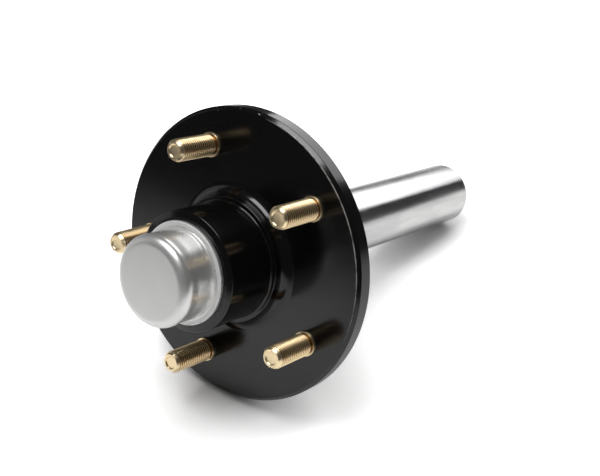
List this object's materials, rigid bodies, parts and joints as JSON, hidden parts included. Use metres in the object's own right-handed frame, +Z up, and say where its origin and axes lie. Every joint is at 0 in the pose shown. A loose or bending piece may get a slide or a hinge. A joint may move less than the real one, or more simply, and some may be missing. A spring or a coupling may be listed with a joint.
{
  "type": "trailer stub axle with hub",
  "caption": "Unbraked trailer stub axle: a round bar with a turned spindle, and a black flanged hub with wheel studs and a dust cap that turns on tapered roller bearings.",
  "frame": {"origin": "on the axle line, in the hub's flange face that the wheel is bolted against", "axes": "+Y along the axle line, from the wheel side towards the bar's plain end; +Z up, +X to the right as seen from the wheel side"},
  "size_m": [0.1588, 0.2831, 0.1588],
  "materials": {
    "black_paint": "gloss black paint on machined iron",
    "yellow_zinc": "yellow-passivated zinc plate",
    "bright_zinc": "satin clear zinc plate",
    "turned_steel": "bright turned and polished",
    "plain_zinc": "zinc plate",
    "cage_steel": "pressed mild steel",
    "bearing_steel": "ground bearing steel",
    "seal_case_steel": "phosphated black sheet steel",
    "seal_rubber": "moulded nitrile rubber",
    "spring_steel": "bright spring steel"
  },
  "bodies": {
    "spindle": {"stub_shaft": "turned_steel", "outer_bearing_cone": "bearing_steel", "inner_bearing_cone": "bearing_steel", "spindle_washer": "plain_zinc", "castle_nut": "plain_zinc", "split_pin": "plain_zinc"},
    "hub": {"hub": "black_paint", "wheel_stud_1": "yellow_zinc", "wheel_stud_2": "yellow_zinc", "wheel_stud_3": "yellow_zinc", "wheel_stud_4": "yellow_zinc", "wheel_stud_5": "yellow_zinc", "dust_cap": "bright_zinc", "outer_bearing_cup": "bearing_steel", "inner_bearing_cup": "bearing_steel", "grease_seal_case": "seal_case_steel", "grease_seal_lip": "seal_rubber", "garter_spring": "spring_steel"},
    "outer_cage": {"outer_bearing_cage": "cage_steel"},
    "inner_cage": {"inner_bearing_cage": "cage_steel"},
    "outer_roller_01": {"outer_roller_01": "bearing_steel"},
    "outer_roller_02": {"outer_roller_02": "bearing_steel"},
    "outer_roller_03": {"outer_roller_03": "bearing_steel"},
    "outer_roller_04": {"outer_roller_04": "bearing_steel"},
    "outer_roller_05": {"outer_roller_05": "bearing_steel"},
    "outer_roller_06": {"outer_roller_06": "bearing_steel"},
    "outer_roller_07": {"outer_roller_07": "bearing_steel"},
    "outer_roller_08": {"outer_roller_08": "bearing_steel"},
    "outer_roller_09": {"outer_roller_09": "bearing_steel"},
    "outer_roller_10": {"outer_roller_10": "bearing_steel"},
    "outer_roller_11": {"outer_roller_11": "bearing_steel"},
    "outer_roller_12": {"outer_roller_12": "bearing_steel"},
    "outer_roller_13": {"outer_roller_13": "bearing_steel"},
    "outer_roller_14": {"outer_roller_14": "bearing_steel"},
    "outer_roller_15": {"outer_roller_15": "bearing_steel"},
    "inner_roller_01": {"inner_roller_01": "bearing_steel"},
    "inner_roller_02": {"inner_roller_02": "bearing_steel"},
    "inner_roller_03": {"inner_roller_03": "bearing_steel"},
    "inner_roller_04": {"inner_roller_04": "bearing_steel"},
    "inner_roller_05": {"inner_roller_05": "bearing_steel"},
    "inner_roller_06": {"inner_roller_06": "bearing_steel"},
    "inner_roller_07": {"inner_roller_07": "bearing_steel"},
    "inner_roller_08": {"inner_roller_08": "bearing_steel"},
    "inner_roller_09": {"inner_roller_09": "bearing_steel"},
    "inner_roller_10": {"inner_roller_10": "bearing_steel"},
    "inner_roller_11": {"inner_roller_11": "bearing_steel"},
    "inner_roller_12": {"inner_roller_12": "bearing_steel"},
    "inner_roller_13": {"inner_roller_13": "bearing_steel"},
    "inner_roller_14": {"inner_roller_14": "bearing_steel"},
    "inner_roller_15": {"inner_roller_15": "bearing_steel"},
    "inner_roller_16": {"inner_roller_16": "bearing_steel"},
    "inner_roller_17": {"inner_roller_17": "bearing_steel"},
    "inner_roller_18": {"inner_roller_18": "bearing_steel"}
  },
  "joints": [
    {"name": "hub_spin", "type": "hinge", "parent": "spindle", "child": "hub", "pos_m": [0, 0, 0], "axis": [0, 1, 0], "continuous": true},
    {"name": "outer_cage_spin", "type": "hinge", "parent": "spindle", "child": "outer_cage", "pos_m": [0, -0.01979, 0], "axis": [0, 1, 0], "continuous": true},
    {"name": "outer_roller_01_spin", "type": "hinge", "parent": "outer_cage", "child": "outer_roller_01", "pos_m": [0, -0.01979, 0.0159], "axis": [0, 0.9863, -0.165], "continuous": true},
    {"name": "outer_roller_02_spin", "type": "hinge", "parent": "outer_cage", "child": "outer_roller_02", "pos_m": [-0.00647, -0.01979, 0.01453], "axis": [0.0671, 0.9863, -0.1508], "continuous": true},
    {"name": "outer_roller_03_spin", "type": "hinge", "parent": "outer_cage", "child": "outer_roller_03", "pos_m": [-0.01182, -0.01979, 0.01064], "axis": [0.1227, 0.9863, -0.1104], "continuous": true},
    {"name": "outer_roller_04_spin", "type": "hinge", "parent": "outer_cage", "child": "outer_roller_04", "pos_m": [-0.01512, -0.01979, 0.00491], "axis": [0.157, 0.9863, -0.051], "continuous": true},
    {"name": "outer_roller_05_spin", "type": "hinge", "parent": "outer_cage", "child": "outer_roller_05", "pos_m": [-0.01581, -0.01979, -0.00166], "axis": [0.1641, 0.9863, 0.0173], "continuous": true},
    {"name": "outer_roller_06_spin", "type": "hinge", "parent": "outer_cage", "child": "outer_roller_06", "pos_m": [-0.01377, -0.01979, -0.00795], "axis": [0.1429, 0.9863, 0.0825], "continuous": true},
    {"name": "outer_roller_07_spin", "type": "hinge", "parent": "outer_cage", "child": "outer_roller_07", "pos_m": [-0.00935, -0.01979, -0.01286], "axis": [0.097, 0.9863, 0.1335], "continuous": true},
    {"name": "outer_roller_08_spin", "type": "hinge", "parent": "outer_cage", "child": "outer_roller_08", "pos_m": [-0.00331, -0.01979, -0.01555], "axis": [0.0343, 0.9863, 0.1614], "continuous": true},
    {"name": "outer_roller_09_spin", "type": "hinge", "parent": "outer_cage", "child": "outer_roller_09", "pos_m": [0.00331, -0.01979, -0.01555], "axis": [-0.0343, 0.9863, 0.1614], "continuous": true},
    {"name": "outer_roller_10_spin", "type": "hinge", "parent": "outer_cage", "child": "outer_roller_10", "pos_m": [0.00935, -0.01979, -0.01286], "axis": [-0.097, 0.9863, 0.1335], "continuous": true},
    {"name": "outer_roller_11_spin", "type": "hinge", "parent": "outer_cage", "child": "outer_roller_11", "pos_m": [0.01377, -0.01979, -0.00795], "axis": [-0.1429, 0.9863, 0.0825], "continuous": true},
    {"name": "outer_roller_12_spin", "type": "hinge", "parent": "outer_cage", "child": "outer_roller_12", "pos_m": [0.01581, -0.01979, -0.00166], "axis": [-0.1641, 0.9863, 0.0173], "continuous": true},
    {"name": "outer_roller_13_spin", "type": "hinge", "parent": "outer_cage", "child": "outer_roller_13", "pos_m": [0.01512, -0.01979, 0.00491], "axis": [-0.157, 0.9863, -0.051], "continuous": true},
    {"name": "outer_roller_14_spin", "type": "hinge", "parent": "outer_cage", "child": "outer_roller_14", "pos_m": [0.01182, -0.01979, 0.01064], "axis": [-0.1227, 0.9863, -0.1104], "continuous": true},
    {"name": "outer_roller_15_spin", "type": "hinge", "parent": "outer_cage", "child": "outer_roller_15", "pos_m": [0.00647, -0.01979, 0.01453], "axis": [-0.0671, 0.9863, -0.1508], "continuous": true},
    {"name": "inner_cage_spin", "type": "hinge", "parent": "spindle", "child": "inner_cage", "pos_m": [0, 0.02488, 0], "axis": [0, 1, 0], "continuous": true},
    {"name": "inner_roller_01_spin", "type": "hinge", "parent": "inner_cage", "child": "inner_roller_01", "pos_m": [0, 0.02488, 0.0225], "axis": [0, 0.9715, 0.2368], "continuous": true},
    {"name": "inner_roller_02_spin", "type": "hinge", "parent": "inner_cage", "child": "inner_roller_02", "pos_m": [-0.0077, 0.02488, 0.02114], "axis": [-0.081, 0.9715, 0.2226], "continuous": true},
    {"name": "inner_roller_03_spin", "type": "hinge", "parent": "inner_cage", "child": "inner_roller_03", "pos_m": [-0.01446, 0.02488, 0.01724], "axis": [-0.1522, 0.9715, 0.1814], "continuous": true},
    {"name": "inner_roller_04_spin", "type": "hinge", "parent": "inner_cage", "child": "inner_roller_04", "pos_m": [-0.01949, 0.02488, 0.01125], "axis": [-0.2051, 0.9715, 0.1184], "continuous": true},
    {"name": "inner_roller_05_spin", "type": "hinge", "parent": "inner_cage", "child": "inner_roller_05", "pos_m": [-0.02216, 0.02488, 0.00391], "axis": [-0.2332, 0.9715, 0.0411], "continuous": true},
    {"name": "inner_roller_06_spin", "type": "hinge", "parent": "inner_cage", "child": "inner_roller_06", "pos_m": [-0.02216, 0.02488, -0.00391], "axis": [-0.2332, 0.9715, -0.0411], "continuous": true},
    {"name": "inner_roller_07_spin", "type": "hinge", "parent": "inner_cage", "child": "inner_roller_07", "pos_m": [-0.01949, 0.02488, -0.01125], "axis": [-0.2051, 0.9715, -0.1184], "continuous": true},
    {"name": "inner_roller_08_spin", "type": "hinge", "parent": "inner_cage", "child": "inner_roller_08", "pos_m": [-0.01446, 0.02488, -0.01724], "axis": [-0.1522, 0.9715, -0.1814], "continuous": true},
    {"name": "inner_roller_09_spin", "type": "hinge", "parent": "inner_cage", "child": "inner_roller_09", "pos_m": [-0.0077, 0.02488, -0.02114], "axis": [-0.081, 0.9715, -0.2226], "continuous": true},
    {"name": "inner_roller_10_spin", "type": "hinge", "parent": "inner_cage", "child": "inner_roller_10", "pos_m": [0, 0.02488, -0.0225], "axis": [0, 0.9715, -0.2368], "continuous": true},
    {"name": "inner_roller_11_spin", "type": "hinge", "parent": "inner_cage", "child": "inner_roller_11", "pos_m": [0.0077, 0.02488, -0.02114], "axis": [0.081, 0.9715, -0.2226], "continuous": true},
    {"name": "inner_roller_12_spin", "type": "hinge", "parent": "inner_cage", "child": "inner_roller_12", "pos_m": [0.01446, 0.02488, -0.01724], "axis": [0.1522, 0.9715, -0.1814], "continuous": true},
    {"name": "inner_roller_13_spin", "type": "hinge", "parent": "inner_cage", "child": "inner_roller_13", "pos_m": [0.01949, 0.02488, -0.01125], "axis": [0.2051, 0.9715, -0.1184], "continuous": true},
    {"name": "inner_roller_14_spin", "type": "hinge", "parent": "inner_cage", "child": "inner_roller_14", "pos_m": [0.02216, 0.02488, -0.00391], "axis": [0.2332, 0.9715, -0.0411], "continuous": true},
    {"name": "inner_roller_15_spin", "type": "hinge", "parent": "inner_cage", "child": "inner_roller_15", "pos_m": [0.02216, 0.02488, 0.00391], "axis": [0.2332, 0.9715, 0.0411], "continuous": true},
    {"name": "inner_roller_16_spin", "type": "hinge", "parent": "inner_cage", "child": "inner_roller_16", "pos_m": [0.01949, 0.02488, 0.01125], "axis": [0.2051, 0.9715, 0.1184], "continuous": true},
    {"name": "inner_roller_17_spin", "type": "hinge", "parent": "inner_cage", "child": "inner_roller_17", "pos_m": [0.01446, 0.02488, 0.01724], "axis": [0.1522, 0.9715, 0.1814], "continuous": true},
    {"name": "inner_roller_18_spin", "type": "hinge", "parent": "inner_cage", "child": "inner_roller_18", "pos_m": [0.0077, 0.02488, 0.02114], "axis": [0.081, 0.9715, 0.2226], "continuous": true}
  ],
  "couplings": [
    {"joint": "outer_cage_spin", "follows": "hub_spin", "ratio": 0.59149},
    {"joint": "outer_roller_01_spin", "follows": "hub_spin", "ratio": 2.6047},
    {"joint": "outer_roller_02_spin", "follows": "hub_spin", "ratio": 2.6047},
    {"joint": "outer_roller_03_spin", "follows": "hub_spin", "ratio": 2.6047},
    {"joint": "outer_roller_04_spin", "follows": "hub_spin", "ratio": 2.6047},
    {"joint": "outer_roller_05_spin", "follows": "hub_spin", "ratio": 2.6047},
    {"joint": "outer_roller_06_spin", "follows": "hub_spin", "ratio": 2.6047},
    {"joint": "outer_roller_07_spin", "follows": "hub_spin", "ratio": 2.6047},
    {"joint": "outer_roller_08_spin", "follows": "hub_spin", "ratio": 2.6047},
    {"joint": "outer_roller_09_spin", "follows": "hub_spin", "ratio": 2.6047},
    {"joint": "outer_roller_10_spin", "follows": "hub_spin", "ratio": 2.6047},
    {"joint": "outer_roller_11_spin", "follows": "hub_spin", "ratio": 2.6047},
    {"joint": "outer_roller_12_spin", "follows": "hub_spin", "ratio": 2.6047},
    {"joint": "outer_roller_13_spin", "follows": "hub_spin", "ratio": 2.6047},
    {"joint": "outer_roller_14_spin", "follows": "hub_spin", "ratio": 2.6047},
    {"joint": "outer_roller_15_spin", "follows": "hub_spin", "ratio": 2.6047},
    {"joint": "inner_cage_spin", "follows": "hub_spin", "ratio": 0.56801},
    {"joint": "inner_roller_01_spin", "follows": "hub_spin", "ratio": 3.5054},
    {"joint": "inner_roller_02_spin", "follows": "hub_spin", "ratio": 3.5054},
    {"joint": "inner_roller_03_spin", "follows": "hub_spin", "ratio": 3.5054},
    {"joint": "inner_roller_04_spin", "follows": "hub_spin", "ratio": 3.5054},
    {"joint": "inner_roller_05_spin", "follows": "hub_spin", "ratio": 3.5054},
    {"joint": "inner_roller_06_spin", "follows": "hub_spin", "ratio": 3.5054},
    {"joint": "inner_roller_07_spin", "follows": "hub_spin", "ratio": 3.5054},
    {"joint": "inner_roller_08_spin", "follows": "hub_spin", "ratio": 3.5054},
    {"joint": "inner_roller_09_spin", "follows": "hub_spin", "ratio": 3.5054},
    {"joint": "inner_roller_10_spin", "follows": "hub_spin", "ratio": 3.5054},
    {"joint": "inner_roller_11_spin", "follows": "hub_spin", "ratio": 3.5054},
    {"joint": "inner_roller_12_spin", "follows": "hub_spin", "ratio": 3.5054},
    {"joint": "inner_roller_13_spin", "follows": "hub_spin", "ratio": 3.5054},
    {"joint": "inner_roller_14_spin", "follows": "hub_spin", "ratio": 3.5054},
    {"joint": "inner_roller_15_spin", "follows": "hub_spin", "ratio": 3.5054},
    {"joint": "inner_roller_16_spin", "follows": "hub_spin", "ratio": 3.5054},
    {"joint": "inner_roller_17_spin", "follows": "hub_spin", "ratio": 3.5054},
    {"joint": "inner_roller_18_spin", "follows": "hub_spin", "ratio": 3.5054}
  ]
}
